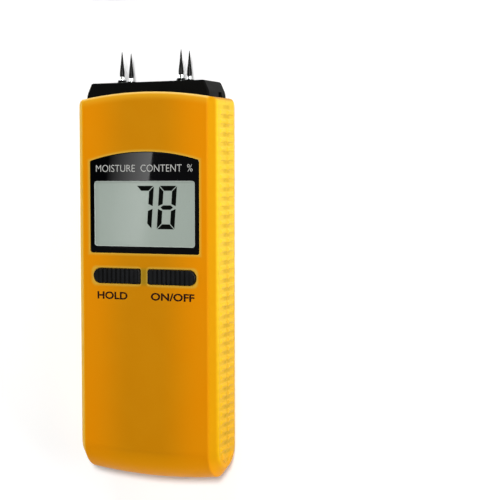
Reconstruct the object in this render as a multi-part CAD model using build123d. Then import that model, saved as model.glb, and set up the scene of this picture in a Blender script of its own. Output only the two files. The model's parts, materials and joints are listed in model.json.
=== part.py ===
from build123d import *
import os

# Four-pin pocket moisture meter, lying on its back with its pin cap pulled off.
# +X is the meter's right, +Y runs towards the probe head, +Z comes out of the display.
# The origin is the centre of the flat back face. All sizes are in millimetres.

# ---- case ----
BODY_WIDTH = 65.0
BODY_DEPTH = 26.0
TOP_SHOULDER = 80.8        # the origin to the top end of the case, at its long sides
BOTTOM_SHOULDER = 79.2     # and to the bottom end
TOP_RISE = 3.2             # arch of the top end above the shoulders
BOTTOM_RISE = 2.4          # arch of the bottom end
CHAMFER_ACROSS = 3.4       # long-edge chamfers, measured across the width
CHAMFER_DEEP = 4.0         # and through the depth
WALL = 2.4
EDGE_SOFT = 0.8            # softening of the chamfers' edges
TOP_CORNER = 2.8
SEAM_Z = 13.2
SEAM_GAP = 0.4
LIP_HEIGHT = 1.8
CAVITY_TOP = 74.6
SUNK = 0.5                 # how far a post or wall runs into what it stands on

# ---- side grip ribs ----
RIB_COUNT = 38
RIB_PITCH = 3.83
RIB_FIRST_Y = 74.9
RIB_WIDTH = 2.3
RIB_HEIGHT = 0.5
RIB_ROOT = 0.3             # depth of the ribs' roots in the shells
FRONT_RIB_Z = (14.7, 20.1)
BACK_RIB_Z = (6.1, 11.6)
END_RIB_RADII = (5.8, 7.1) # the curved last rib, about the centre of the rounded end
FRONT_END_RIB_Z = (15.0, 18.2)
BACK_END_RIB_Z = (8.2, 11.4)

# ---- probe head, pins and cap ----
HEAD_HALF_WIDTH = 28.6
HEAD_TAPER = 2.3           # the head's sides lean in by this much towards its top
HEAD_TAPER_FROM = 83.4
HEAD_CORNER = 1.2
HEAD_SIDE_CURVE = 7.0      # radius where the sides start to lean in
HEAD_SOFT = 0.6
HEAD_DEPTH = 18.6
HEAD_TOP = 88.4
SOCKET_FLOOR = 77.2        # floor of the groove that the cap's skirt drops into
SOCKET_CLEARANCE = 0.3
SOCKET_CORNER = 3.3
NECK_HALF = (26.9, 8.15)   # the head's neck, half width and half depth
NECK_CLEARANCE = 0.25
FLANGE_HALF = (28.0, 9.1)  # flange that holds the head inside the case
FLANGE_BOTTOM = 72.2
PIN_X = 13.85
PIN_Z_OFFSET = 4.4
PIN_TIP = 101.9
PIN_FOOT = 78.4
THREAD_RADIUS = 1.22
INSERT_RADIUS = 2.0
INSERT_BORE = 1.25
INSERT_FOOT = 77.0
NEEDLE_FOOT = 91.2         # underside of the needles' widest part
NECK_RADIUS = 0.7
COLLAR_RADIUS = 2.1
COLLAR_HEIGHT = 1.2
COLLAR_BOSS = 0.95         # radius of the boss that stands on each collar
CAP_HALF_WIDTH = 30.0
CAP_BASE_DEPTH = 22.9
CAP_DOME_RADIUS = 11.1
CAP_SHOULDER = 102.0       # height of the cap's ends when it is on
CAP_RISE = 3.3
CAP_MOUTH = 77.5
CAP_WALL = 1.1
CAP_SKIRT_DEPTH = 3.0      # length of the cap's flared skirt mouth that is cut straight
DETENT_Z = 3.0             # the two detents sit this far off the middle, point-symmetrically
DETENT_Y = (81.4, 83.0)
DETENT_HALF = 0.5
NOTCH_Y = (79.0, 83.8)     # notches in the head that the detents sit in,
NOTCH_HALF = 1.8           # and their half width
NOTCH_DEPTH = 1.5
CAP_OFF = 53.5             # how far the cap is pulled off

# ---- display ----
BEZEL_HALF_WIDTH = 25.5
BEZEL_BOTTOM = 15.8
BEZEL_SHOULDER = 55.0
BEZEL_RISE = 3.8
WINDOW_HALF_WIDTH = 23.5
WINDOW_Y = (18.65, 46.5)
DISPLAY_Y = (WINDOW_Y[0] + WINDOW_Y[1]) / 2
RECESS_Z = 24.6
BEZEL_TOP_Z = 25.8
FRONT_WALL_INNER = BODY_DEPTH - WALL

# ---- keys ----
KEY_Y = 5.9
KEY_LENGTH = 22.4
KEY_HEIGHT = 6.6
KEY_INNER_X = 1.65         # each key opening starts this far from the centre line
KEY_GAP = 0.2
KEY_TOP_Z = 26.7
KEY_GROOVES = 7
KEY_GROOVE_PITCH = 2.1
KEY_FOOT_Z = 22.5
KEY_FLANGE = 0.8           # the flange that keeps each key in, and
KEY_FLANGE_HEIGHT = 1.0    # its thickness
MOUTH_BEVEL = 0.35

# ---- circuit board ----
BOARD_Z = (16.6, 18.2)
BOARD_Y = (-7.5, 62.0)
BOARD_HALF_WIDTH = 28.0
BOARD_SCREWS = [(-24.0, 57.0), (24.0, 57.0), (-24.0, -3.5), (24.0, -3.5)]

# ---- battery and its door ----
BATTERY_SIZE = (26.5, 46.4, 17.5)
BATTERY_Y = -66.0
BATTERY_Z = 3.7
STUD_SPACING = 12.7
DOOR_TOP = 3.8
DOOR_SIDE_Z = 5.4
DOOR_END_Z = 7.8
DOOR_END_Y = (-67.0, -72.8)
DOOR_GAP = 0.25
DOOR_WALL = 2.1
DOOR_RAIL_X = (27.2, 28.7)
DOOR_GRIPS = 5
DECK_Z = (5.8, 7.4)
CASE_SCREWS = [(-26.0, 67.3), (26.0, 67.3), (-22.5, -60.0), (22.5, -60.0)]
SCREW_SEAT_Z = 8.2

MID_Z = BODY_DEPTH / 2


def block(x, y, z):
    """Box between two limits along each axis."""
    return Pos((x[0] + x[1]) / 2, (y[0] + y[1]) / 2, (z[0] + z[1]) / 2) * Box(
        x[1] - x[0], y[1] - y[0], z[1] - z[0]
    )


def rod_z(x, y, radius, z):
    """Cylinder along Z between two heights."""
    return Pos(x, y, (z[0] + z[1]) / 2) * Cylinder(radius, z[1] - z[0])


def rod_y(x, z, radius, y):
    """Cylinder along Y between two stations."""
    return Pos(x, (y[0] + y[1]) / 2, z) * Rot(90, 0, 0) * Cylinder(radius, y[1] - y[0])


def rounded_end_disc(rim, thickness, end_radius, low_z, centre_y, flare=0.0, flare_from=0.0):
    """Disc about a Z axis whose rim is fully rounded; its edge gives the arched, rounded ends."""
    half = thickness / 2
    middle = low_z + half
    start = rim - end_radius
    root = start - flare_from
    with BuildSketch(Plane.XZ) as profile:
        with BuildLine():
            ThreePointArc((start, middle - end_radius), (rim, middle), (start, middle + end_radius))
            if flare_from:
                Polyline((start, middle + end_radius), (root, middle + half + flare),
                         (0, middle + half + flare), (0, middle - half - flare),
                         (root, middle - half - flare), (start, middle - end_radius))
            else:
                Polyline((start, middle + end_radius), (0, middle + half),
                         (0, middle - half), (start, middle - end_radius))
        make_face()
    return Pos(0, centre_y, 0) * revolve(profile.sketch, Axis.Z, 360)


def arch_radius(half_width, rise):
    return (half_width ** 2 + rise ** 2) / (2 * rise)


def casing(inset=0.0, flat_top=None, soft=False):
    """The case's closed form, with every face but a flat top moved inwards by inset."""
    half = BODY_WIDTH / 2 - inset
    depth = BODY_DEPTH - 2 * inset
    radius = arch_radius(BODY_WIDTH / 2, BOTTOM_RISE)
    lowest = -BOTTOM_SHOULDER - BOTTOM_RISE
    disc = rounded_end_disc(radius - inset, depth, depth / 2, inset, lowest + radius)
    top = TOP_SHOULDER if flat_top is None else flat_top
    with BuildSketch() as outline:
        with BuildLine():
            Polyline((-half, top), (-half, lowest - 5), (half, lowest - 5), (half, top))
            if flat_top is None:
                ThreePointArc((half, top), (0, top + TOP_RISE), (-half, top))
            else:
                Line((half, top), (-half, top))
        make_face()
    form = extrude(outline.sketch, BODY_DEPTH) & disc
    for end in (0, -1):
        side = form.faces().sort_by(Axis.X)[end]
        long_edges = [edge for edge in side.edges() if edge.center().Y < top - 1.0]
        form = chamfer(long_edges, CHAMFER_DEEP, CHAMFER_ACROSS, reference=side)
    if soft:
        corners = [edge for edge in form.edges().filter_by(Axis.Z)
                   if edge.center().Y > TOP_SHOULDER - 0.5]
        form = fillet(corners, TOP_CORNER)
        flat = BODY_WIDTH / 2 - CHAMFER_ACROSS
        sharp = []
        for edge in form.edges():
            middle = edge.center()
            at_top = middle.Y > TOP_SHOULDER - TOP_CORNER + 0.2
            at_chamfer = abs(middle.X) > flat - 0.6 and edge.length > 5
            if at_top or at_chamfer:
                sharp.append(edge)
        form = fillet(sharp, EDGE_SOFT)
    return form


def slab(low, high):
    """Everything between two heights."""
    return block((-60, 60), (-120, 120), (low, high))


def rounded_bar(half_x, half_z, corner, y):
    """Upright bar along Y with a rounded rectangular section about the case's middle."""
    with BuildSketch(Plane.XZ) as section:
        RectangleRounded(2 * half_x, 2 * half_z, corner)
    bar = extrude(section.sketch, -(y[1] - y[0]))
    return Pos(0, y[0], MID_Z) * bar


# ---------------------------------------------------------------- side ribs

def grip_ribs(side, z):
    """One column of grip ribs: rounded bars across the side, sloping off at their outer ends."""
    face_x = side * BODY_WIDTH / 2
    crest_x = face_x + side * RIB_HEIGHT
    root_x = face_x - side * RIB_ROOT
    last_y = RIB_FIRST_Y - (RIB_COUNT - 1) * RIB_PITCH
    with BuildSketch() as profile:
        with BuildLine():
            Polyline((face_x, last_y - RIB_WIDTH / 2), (root_x, last_y - RIB_WIDTH / 2),
                     (root_x, RIB_FIRST_Y + RIB_WIDTH / 2), (face_x, RIB_FIRST_Y + RIB_WIDTH / 2))
            for index in range(RIB_COUNT):
                y = RIB_FIRST_Y - index * RIB_PITCH
                ThreePointArc((face_x, y + RIB_WIDTH / 2), (crest_x, y), (face_x, y - RIB_WIDTH / 2))
                if index < RIB_COUNT - 1:
                    Line((face_x, y - RIB_WIDTH / 2), (face_x, y - RIB_PITCH + RIB_WIDTH / 2))
        make_face()
    column = Pos(0, 0, z[0]) * extrude(profile.sketch, z[1] - z[0])
    outer = z[1] if z[1] > SEAM_Z else z[0]
    inwards = -1 if z[1] > SEAM_Z else 1
    with BuildSketch(Plane.XZ) as slope:
        with BuildLine():
            Polyline((face_x, outer), (crest_x + side, outer),
                     (crest_x + side, outer + inwards * (RIB_HEIGHT + 1) * 1.6), (face_x, outer))
        make_face()
    return column - extrude(slope.sketch, 120, both=True)


def end_rib(side, z):
    """The last rib, which curves round the bottom end."""
    centre_y = -BOTTOM_SHOULDER + MID_Z
    with BuildSketch(Plane.YZ) as plan:
        with Locations((centre_y, MID_Z)):
            Circle(END_RIB_RADII[1])
            Circle(END_RIB_RADII[0], mode=Mode.SUBTRACT)
        with Locations((centre_y - 5, (z[0] + z[1]) / 2)):
            Rectangle(10, z[1] - z[0], mode=Mode.INTERSECT)
    bar = extrude(plan.sketch, RIB_HEIGHT, both=True)
    return Pos(side * BODY_WIDTH / 2, 0, 0) * bar


# ---------------------------------------------------------------- case shells

def cap_socket():
    """Groove round the head that takes the cap's skirt."""
    half_x = CAP_HALF_WIDTH + SOCKET_CLEARANCE
    half_z = CAP_BASE_DEPTH / 2 + SOCKET_CLEARANCE
    return rounded_bar(half_x, half_z, SOCKET_CORNER, (SOCKET_FLOOR, 100))


def head_passage():
    """Slot in the top wall that the head's neck stands in."""
    half_x, half_z = NECK_HALF
    return rounded_bar(half_x + NECK_CLEARANCE, half_z + NECK_CLEARANCE, 2.0,
                       (CAVITY_TOP - 1, SOCKET_FLOOR + 1))


def bezel_outline(grow=0.0):
    half = BEZEL_HALF_WIDTH + grow
    bottom = BEZEL_BOTTOM - grow
    shoulder = BEZEL_SHOULDER + grow
    with BuildSketch() as outline:
        with BuildLine():
            Polyline((-half, shoulder), (-half, bottom), (half, bottom), (half, shoulder))
            ThreePointArc((half, shoulder), (0, shoulder + BEZEL_RISE), (-half, shoulder))
        make_face()
        fillet(outline.vertices(), 1.0)
    return outline.sketch


def window_outline(grow=0.0):
    with BuildSketch() as outline:
        with Locations((0, DISPLAY_Y)):
            RectangleRounded(2 * (WINDOW_HALF_WIDTH + grow),
                             WINDOW_Y[1] - WINDOW_Y[0] + 2 * grow, 1.2)
    return outline.sketch


def key_outline(side, shrink=0.0):
    """Key shape: outer end round, inner end nearly square."""
    length = KEY_LENGTH - 2 * shrink
    height = KEY_HEIGHT - 2 * shrink
    with BuildSketch() as outline:
        with Locations((switch_x(side), KEY_Y)):
            Rectangle(length, height)
        ends = outline.vertices().group_by(Axis.X)
        outer, inner = (ends[-1], ends[0]) if side > 0 else (ends[0], ends[-1])
        fillet(outer, height * 0.49)
        inner_points = [v for v in outline.vertices()
                        if abs(v.X - side * (KEY_INNER_X + shrink)) < 0.01]
        fillet(inner_points, 0.8)
    return outline.sketch


def front_shell():
    shell = casing(soft=True) & slab(SEAM_Z + SEAM_GAP / 2, BODY_DEPTH)
    shell -= casing(WALL, CAVITY_TOP)
    shell -= casing(WALL / 2 - 0.05, CAVITY_TOP - 1) & slab(0, SEAM_Z + LIP_HEIGHT)
    shell -= cap_socket()
    shell -= head_passage()
    shell -= Pos(0, 0, RECESS_Z) * extrude(bezel_outline(0.12), 5)
    shell -= Pos(0, 0, FRONT_WALL_INNER - 1) * extrude(window_outline(1.4), 5)
    for side in (1, -1):
        shell -= Pos(0, 0, FRONT_WALL_INNER - 1) * extrude(key_outline(side), 5)
        mouth = extrude(key_outline(side), MOUTH_BEVEL + 0.15, taper=-45)
        shell -= Pos(0, 0, BODY_DEPTH - MOUTH_BEVEL) * mouth
    for x, y in CASE_SCREWS:
        shell += rod_z(x, y, 3.2, (SEAM_Z + SEAM_GAP / 2, FRONT_WALL_INNER + SUNK))
        shell -= rod_z(x, y, 1.25, (SEAM_Z - 1, 21.0))
    for x, y in BOARD_SCREWS:
        shell += rod_z(x, y, 2.5, (BOARD_Z[1], FRONT_WALL_INNER + SUNK))
        shell -= rod_z(x, y, 0.85, (BOARD_Z[1] - 1, 22.6))
    for side in (1, -1):
        shell = shell.fuse(grip_ribs(side, FRONT_RIB_Z), end_rib(side, FRONT_END_RIB_Z))
    return shell


def door_region(shrink=0.0):
    """Space that the battery door takes from the back of the case."""
    reach = 60
    with BuildSketch(Plane.YZ) as profile:
        with BuildLine():
            Polyline((DOOR_TOP - shrink, -5), (DOOR_TOP - shrink, 0))
            ThreePointArc(
                (DOOR_TOP - shrink, 0),
                (DOOR_TOP - 1.3 - shrink * 0.8, 3.7 - shrink * 0.8),
                (DOOR_TOP - 4.2, DOOR_SIDE_Z - shrink),
            )
            Polyline((DOOR_TOP - 4.2, DOOR_SIDE_Z - shrink),
                     (DOOR_END_Y[0], DOOR_SIDE_Z - shrink),
                     (DOOR_END_Y[1] - shrink / 2, DOOR_END_Z - shrink),
                     (-100, DOOR_END_Z - shrink), (-100, -5), (DOOR_TOP - shrink, -5))
        make_face()
    return extrude(profile.sketch, reach, both=True)


def back_shell():
    shell = casing(soft=True) & slab(0, SEAM_Z - SEAM_GAP / 2)
    shell -= casing(WALL, CAVITY_TOP)
    lip = casing(WALL / 2 + 0.05, CAVITY_TOP - 1.2) - casing(WALL, CAVITY_TOP)
    lip -= block((-40, 40), (CAVITY_TOP - 4, 100), (0, BODY_DEPTH))
    shell += lip & slab(SEAM_Z - 1.0, SEAM_Z + LIP_HEIGHT - 0.2)
    shell -= cap_socket()
    shell -= head_passage()
    shell -= door_region()
    inside = casing(WALL - 0.4, CAVITY_TOP)
    deck = block((-40, 40), (-68, DOOR_TOP + 1.8), DECK_Z)
    deck += block((-40, 40), (DOOR_TOP + 0.6, DOOR_TOP + 1.8), (1.0, DECK_Z[1]))
    shell += deck & inside
    half_bay = BATTERY_SIZE[0] / 2 + 0.6
    bay_y = (BATTERY_Y - 1.0, -9.5)
    bay = block((-half_bay - 1.2, half_bay + 1.2), (bay_y[0] - 0.6, bay_y[1] + 1.2),
                (DECK_Z[0], 20.8))
    shell += bay & inside
    shell -= block((-half_bay, half_bay), bay_y, (0, 30))
    shell -= block((-15, 3), (bay_y[1] - 1, bay_y[1] + 3), (9.0, 30))
    shell -= block((-8.3, 8.3), (DOOR_TOP - 2, DOOR_TOP + 4), (2.0, 4.4))
    for x, y in CASE_SCREWS:
        start = DECK_Z[0] if y < DOOR_TOP else WALL - SUNK
        shell += rod_z(x, y, 3.9, (start, SEAM_Z - SEAM_GAP / 2)) & casing(0.5)
        shell -= rod_z(x, y, 3.05, (-1, SCREW_SEAT_Z))
        shell -= rod_z(x, y, 1.6, (SCREW_SEAT_Z - 1, SEAM_Z + 1))
    for side in (1, -1):
        shell = shell.fuse(grip_ribs(side, BACK_RIB_Z), end_rib(side, BACK_END_RIB_Z))
    return shell


def battery_door():
    door = (casing(soft=True) - casing(DOOR_WALL, CAVITY_TOP)) & door_region(DOOR_GAP)
    for side in (1, -1):
        rail_x = sorted((side * DOOR_RAIL_X[0], side * DOOR_RAIL_X[1]))
        rail = block(rail_x, (-58, -4), (DOOR_WALL - SUNK, DOOR_SIDE_Z - 0.3))
        door += rail
    door += block((-8, 8), (-10, DOOR_TOP + 3.6), (DOOR_WALL - 0.1, 3.2))
    door -= block((-8.6, 8.6), (DOOR_TOP - 1.2, DOOR_TOP + 1), (3.2, 9))
    for index in range(DOOR_GRIPS):
        door -= block((-12, 12), (-5 - 2 * index, -4 - 2 * index), (-1, 0.6))
    return door


# ---------------------------------------------------------------- probe head

def pin_places():
    for name_z, z_sign in (("front", 1), ("rear", -1)):
        for name_x, x_sign in (("left", -1), ("right", 1)):
            yield f"{name_z}_{name_x}", x_sign * PIN_X, MID_Z + z_sign * PIN_Z_OFFSET


def head_block():
    with BuildSketch(Plane.XY) as front_view:
        with BuildLine():
            Polyline((-HEAD_HALF_WIDTH, SOCKET_FLOOR), (HEAD_HALF_WIDTH, SOCKET_FLOOR),
                     (HEAD_HALF_WIDTH, HEAD_TAPER_FROM), (HEAD_HALF_WIDTH - HEAD_TAPER, HEAD_TOP),
                     (-HEAD_HALF_WIDTH + HEAD_TAPER, HEAD_TOP), (-HEAD_HALF_WIDTH, HEAD_TAPER_FROM),
                     (-HEAD_HALF_WIDTH, SOCKET_FLOOR))
        make_face()
        fillet(front_view.vertices().group_by(Axis.Y)[-1], HEAD_CORNER)
        bends = [v for v in front_view.vertices() if abs(v.Y - HEAD_TAPER_FROM) < 0.01]
        fillet(bends, HEAD_SIDE_CURVE)
    head = Pos(0, 0, MID_Z - HEAD_DEPTH / 2) * extrude(front_view.sketch, HEAD_DEPTH)
    visible = [e for e in head.edges() if e.center().Y > SOCKET_FLOOR + 0.1]
    head = fillet(visible, HEAD_SOFT)
    head += rounded_bar(*NECK_HALF, 1.8, (CAVITY_TOP - 0.2, SOCKET_FLOOR))
    head += rounded_bar(*FLANGE_HALF, 4.0, (FLANGE_BOTTOM, CAVITY_TOP - 0.1))
    for _, x, z in pin_places():
        head -= rod_y(x, z, INSERT_RADIUS + 0.02, (FLANGE_BOTTOM - 1, HEAD_TOP + 1))
    for side in (1, -1):
        notch_x = sorted((side * (HEAD_HALF_WIDTH - NOTCH_DEPTH), side * (HEAD_HALF_WIDTH + 1)))
        z = MID_Z - side * DETENT_Z
        head -= block(notch_x, NOTCH_Y, (z - NOTCH_HALF, z + NOTCH_HALF))
    return head


def probe_pin(x, z):
    """Needle on a threaded shank, turned from one bar."""
    with BuildSketch(Plane.XY) as section:
        with BuildLine():
            Polyline((0, PIN_FOOT), (THREAD_RADIUS - 0.2, PIN_FOOT), (THREAD_RADIUS, PIN_FOOT + 0.4),
                     (THREAD_RADIUS, HEAD_TOP), (NECK_RADIUS, HEAD_TOP), (NECK_RADIUS, NEEDLE_FOOT),
                     (1.05, NEEDLE_FOOT))
            Spline((1.05, NEEDLE_FOOT), (1.08, NEEDLE_FOOT + 1.2), (0.92, NEEDLE_FOOT + 3.2),
                   (0.62, NEEDLE_FOOT + 5.6), (0.4, NEEDLE_FOOT + 8.0), (0.06, PIN_TIP))
            Polyline((0.06, PIN_TIP), (0, PIN_TIP), (0, PIN_FOOT))
        make_face()
    return Pos(x, 0, z) * revolve(section.sketch, Axis.Y, 360)


def pin_collar(x, z):
    collar = rod_y(x, z, COLLAR_RADIUS, (HEAD_TOP, HEAD_TOP + COLLAR_HEIGHT))
    rim = collar.edges().filter_by(GeomType.CIRCLE).sort_by(Axis.Y)[-1]
    collar = chamfer(rim, 0.3, 0.9, reference=collar.faces().sort_by(Axis.Y)[-1])
    collar += rod_y(x, z, COLLAR_BOSS, (HEAD_TOP, NEEDLE_FOOT - 0.1))
    return collar - rod_y(x, z, NECK_RADIUS + 0.05, (HEAD_TOP - 1, NEEDLE_FOOT + 1))


def pin_insert(x, z):
    """Threaded brass insert that holds a needle's shank."""
    insert = rod_y(x, z, INSERT_RADIUS, (INSERT_FOOT, HEAD_TOP - 0.05))
    return insert - rod_y(x, z, INSERT_BORE, (INSERT_FOOT - 1, HEAD_TOP + 1))


def contact_strip(side):
    """Spring strip that joins one side's two pins to the board."""
    x = side * PIN_X
    strip = block((x - 2.6, x + 2.6), (71.6, 72.0), (MID_Z - 7.2, 20.2))
    strip += block((x - 1.5, x + 1.5), (60.0, 72.0), (19.8, 20.2))
    strip += block((x - 1.5, x + 1.5), (60.0, 60.4), (BOARD_Z[1], 20.2))
    return strip


def pin_terminal(x, z):
    """Solder bush on the strip, under each threaded insert."""
    return rod_y(x, z, INSERT_RADIUS - 0.1, (72.0, INSERT_FOOT))


def cap_form(rim_inset, half_width, base_half, end_soft):
    """Arched dome on a slightly flared skirt, shared by the cap's outside and inside."""
    radius = arch_radius(CAP_HALF_WIDTH, CAP_RISE)
    apex = CAP_SHOULDER + CAP_RISE
    dome = CAP_DOME_RADIUS - rim_inset
    centre_y = apex - radius
    skirt = radius - CAP_DOME_RADIUS - (CAP_MOUTH - centre_y)
    flare = base_half - dome
    disc = rounded_end_disc(radius - rim_inset, 2 * dome, dome, MID_Z - dome, centre_y,
                            flare=flare, flare_from=skirt)
    form = disc & block((-half_width, half_width), (CAP_MOUTH, 130), (-10, 40))
    for end in (0, -1):
        face = form.faces().sort_by(Axis.X)[end]
        round_edges = [e for e in face.edges() if e.center().Y > CAP_MOUTH + 0.5]
        form = fillet(round_edges, end_soft)
    return form


def pin_cap():
    cap = cap_form(0, CAP_HALF_WIDTH, CAP_BASE_DEPTH / 2, 2.8)
    inside = cap_form(CAP_WALL, HEAD_HALF_WIDTH + 0.3, CAP_DOME_RADIUS - CAP_WALL, 1.2)
    inside += Pos(0, -1, 0) * (inside & block((-50, 50), (CAP_MOUTH, CAP_MOUTH + CAP_SKIRT_DEPTH), (0, 40)))
    cap -= inside
    for side in (1, -1):
        bump_x = sorted((side * (HEAD_HALF_WIDTH + 0.05), side * (HEAD_HALF_WIDTH + 0.8)))
        z = MID_Z - side * DETENT_Z
        cap += block(bump_x, DETENT_Y, (z - DETENT_HALF, z + DETENT_HALF))
    return Pos(0, CAP_OFF, 0) * cap


# ---------------------------------------------------------------- display

def bezel_panel():
    panel = Pos(0, 0, RECESS_Z) * extrude(bezel_outline(), BEZEL_TOP_Z - RECESS_Z)
    top_edges = panel.faces().sort_by(Axis.Z)[-1].edges()
    panel = fillet(top_edges, 0.25)
    return panel - Pos(0, 0, RECESS_Z - 1) * extrude(window_outline(), 5)


def display_window():
    return Pos(0, 0, FRONT_WALL_INNER) * extrude(window_outline(1.2), 0.95)


def lcd_glass():
    """Two bonded panes, the lower one with a contact ledge along each long edge."""
    upper = block((-25.4, 25.4), (DISPLAY_Y - 15.2, DISPLAY_Y + 15.2), (22.2, 23.2))
    lower = block((-25.4, 25.4), (DISPLAY_Y - 17.0, DISPLAY_Y + 17.0), (21.2, 22.2))
    return upper + lower


def lcd_frame():
    low = BOARD_Z[1]
    frame = block((-26.5, 26.5), (DISPLAY_Y - 18.6, DISPLAY_Y + 18.6), (low, 23.3))
    frame -= block((-25.6, 25.6), (DISPLAY_Y - 17.2, DISPLAY_Y + 17.2), (20.9, 30))
    frame -= block((-22.5, 22.5), (DISPLAY_Y - 12.5, DISPLAY_Y + 12.5), (0, 30))
    for side in (1, -1):
        y = DISPLAY_Y + side * 15.4
        frame -= block((-24.0, 24.0), (y - 1.3, y + 1.3), (0, 30))
    return frame


def elastomer_strip(side):
    y = DISPLAY_Y + side * 15.4
    return block((-23.5, 23.5), (y - 1.1, y + 1.1), (BOARD_Z[1], 21.2))


# ---------------------------------------------------------------- keys

def key_cap(side):
    """Key with vertical grip grooves and a flange that keeps it behind the front wall."""
    key = Pos(0, 0, KEY_FOOT_Z) * extrude(key_outline(side, KEY_GAP), KEY_TOP_Z - KEY_FOOT_Z)
    key = fillet(key.faces().sort_by(Axis.Z)[-1].edges(), 0.35)
    key += Pos(0, 0, KEY_FOOT_Z) * extrude(key_outline(side, -KEY_FLANGE), KEY_FLANGE_HEIGHT)
    first = switch_x(side) - (KEY_GROOVES - 1) / 2 * KEY_GROOVE_PITCH
    for index in range(KEY_GROOVES):
        x = first + index * KEY_GROOVE_PITCH
        key -= block((x - 0.3, x + 0.3), (KEY_Y - 4, KEY_Y + 4), (KEY_TOP_Z - 0.35, KEY_TOP_Z + 1))
    return key


def switch_x(side):
    """Middle of a key and of the switch under it."""
    return side * (KEY_INNER_X + KEY_LENGTH / 2)


def switch_body(side):
    x = switch_x(side)
    body = block((x - 3, x + 3), (KEY_Y - 3, KEY_Y + 3), (BOARD_Z[1], 21.6))
    return body - rod_z(x, KEY_Y, 1.8, (19.6, 25))


def switch_plunger(side):
    return rod_z(switch_x(side), KEY_Y, 1.7, (20.4, KEY_FOOT_Z))


# ---------------------------------------------------------------- circuit board

def main_board():
    board = block((-BOARD_HALF_WIDTH, BOARD_HALF_WIDTH), BOARD_Y, BOARD_Z)
    board = fillet(board.edges().filter_by(Axis.Z), 1.5)
    for x, y in BOARD_SCREWS:
        board -= rod_z(x, y, 1.1, (10, 20))
    return board


def board_screw(x, y):
    head = rod_z(x, y, 1.9, (BOARD_Z[0] - 1.4, BOARD_Z[0]))
    head = fillet(head.edges().sort_by(Axis.Z)[:1], 0.5)
    screw = head + rod_z(x, y, 0.8, (BOARD_Z[0] - 0.1, 22.4))
    return screw - cross_recess(x, y, BOARD_Z[0] - 1.4, 2.4, 0.45, 0.7)


def case_screw(x, y):
    head = rod_z(x, y, 2.8, (SCREW_SEAT_Z - 2.1, SCREW_SEAT_Z))
    head = fillet(head.edges().sort_by(Axis.Z)[:1], 0.8)
    screw = head + rod_z(x, y, 1.2, (SCREW_SEAT_Z - 0.1, 20.2))
    return screw - cross_recess(x, y, SCREW_SEAT_Z - 2.1, 3.4, 0.6, 1.1)


def cross_recess(x, y, low_z, length, width, depth):
    """Cross-head slot cut upwards from the bottom of a screw's head."""
    z = (low_z - 1, low_z + depth)
    half, narrow = length / 2, width / 2
    return (block((x - half, x + half), (y - narrow, y + narrow), z)
            + block((x - narrow, x + narrow), (y - half, y + half), z))


def chip(x, y, width, length, height, leads, pitch):
    """Moulded chip on the back of the board with a row of leads along each long side."""
    top = BOARD_Z[0]
    body = block((x - width / 2, x + width / 2), (y - length / 2, y + length / 2),
                 (top - height, top - 0.1))
    for index in range(leads):
        lead_y = y + (index - (leads - 1) / 2) * pitch
        for side in (1, -1):
            lead_x = sorted((x + side * (width / 2 - 0.1), x + side * (width / 2 + 1.0)))
            body += block(lead_x, (lead_y - 0.2, lead_y + 0.2), (top - 0.4, top))
    return body


def crystal():
    x, y = 15.0, 40.0
    can = block((x - 5.4, x + 5.4), (y - 2.2, y + 2.2), (BOARD_Z[0] - 3.4, BOARD_Z[0]))
    return fillet(can.edges().filter_by(Axis.Z), 2.0)


def trim_pot(x, y):
    top = BOARD_Z[0]
    pot = block((x - 2.3, x + 2.3), (y - 2.3, y + 2.3), (top - 2.0, top))
    pot += rod_z(x, y, 1.5, (top - 2.5, top - 1.9))
    return pot - block((x - 1.2, x + 1.2), (y - 0.2, y + 0.2), (top - 3, top - 2.2))


def electrolytic(x, y):
    can = rod_z(x, y, 2.5, (BOARD_Z[0] - 6.5, BOARD_Z[0]))
    return fillet(can.edges().sort_by(Axis.Z)[:1], 0.4)


def chip_resistor(x, y):
    top = BOARD_Z[0]
    return block((x - 1.6, x + 1.6), (y - 0.8, y + 0.8), (top - 0.6, top))


# ---------------------------------------------------------------- battery

def battery_top():
    return BATTERY_Y + BATTERY_SIZE[1]


def battery_mid_z():
    return BATTERY_Z + BATTERY_SIZE[2] / 2


def battery_can():
    half = BATTERY_SIZE[0] / 2
    can = block((-half, half), (BATTERY_Y, battery_top()), (BATTERY_Z, BATTERY_Z + BATTERY_SIZE[2]))
    can = fillet(can.edges().filter_by(Axis.Y), 2.4)
    return fillet(can.faces().filter_by(Axis.Y).edges(), 0.5)


def battery_studs():
    z = battery_mid_z()
    top = battery_top()
    male = rod_y(STUD_SPACING / 2, z, 2.8, (top, top + 2.1))
    female = rod_y(-STUD_SPACING / 2, z, 4.1, (top, top + 2.1))
    female -= rod_y(-STUD_SPACING / 2, z, 2.9, (top + 0.6, top + 3))
    return [male, female]


def battery_snap():
    z = battery_mid_z()
    top = battery_top()
    snap = block((-12.5, 12.5), (top + 0.3, top + 5.0), (z - 5.2, z + 5.2))
    snap = fillet(snap.edges().filter_by(Axis.Y), 3.0)
    snap -= rod_y(STUD_SPACING / 2, z, 3.0, (top, top + 2.4))
    snap -= rod_y(-STUD_SPACING / 2, z, 4.3, (top, top + 2.4))
    return snap


def battery_lead(start_x, end_x):
    """Insulated wire from the snap up to the board, held inside the case."""
    z = battery_mid_z()
    start_y = battery_top() + 5.0
    route = [
        (start_x, start_y, z),
        (start_x, start_y + 4.0, z),
        (start_x + (end_x - start_x) * 0.6, start_y + 8.5, z - 1.2),
        (end_x, start_y + 13.0, z - 0.6),
        (end_x, start_y + 16.0, z + 1.6),
        (end_x, start_y + 16.0, BOARD_Z[0]),
    ]
    path = FilletPolyline(*route, radius=1.4)
    section = Plane(origin=path @ 0, z_dir=path % 0) * Circle(0.7)
    return sweep(section, path=path)


def battery_foam():
    return block((-11, 11), (-60, -26), (DOOR_WALL, 3.4))


# ---------------------------------------------------------------- write the parts

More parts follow.
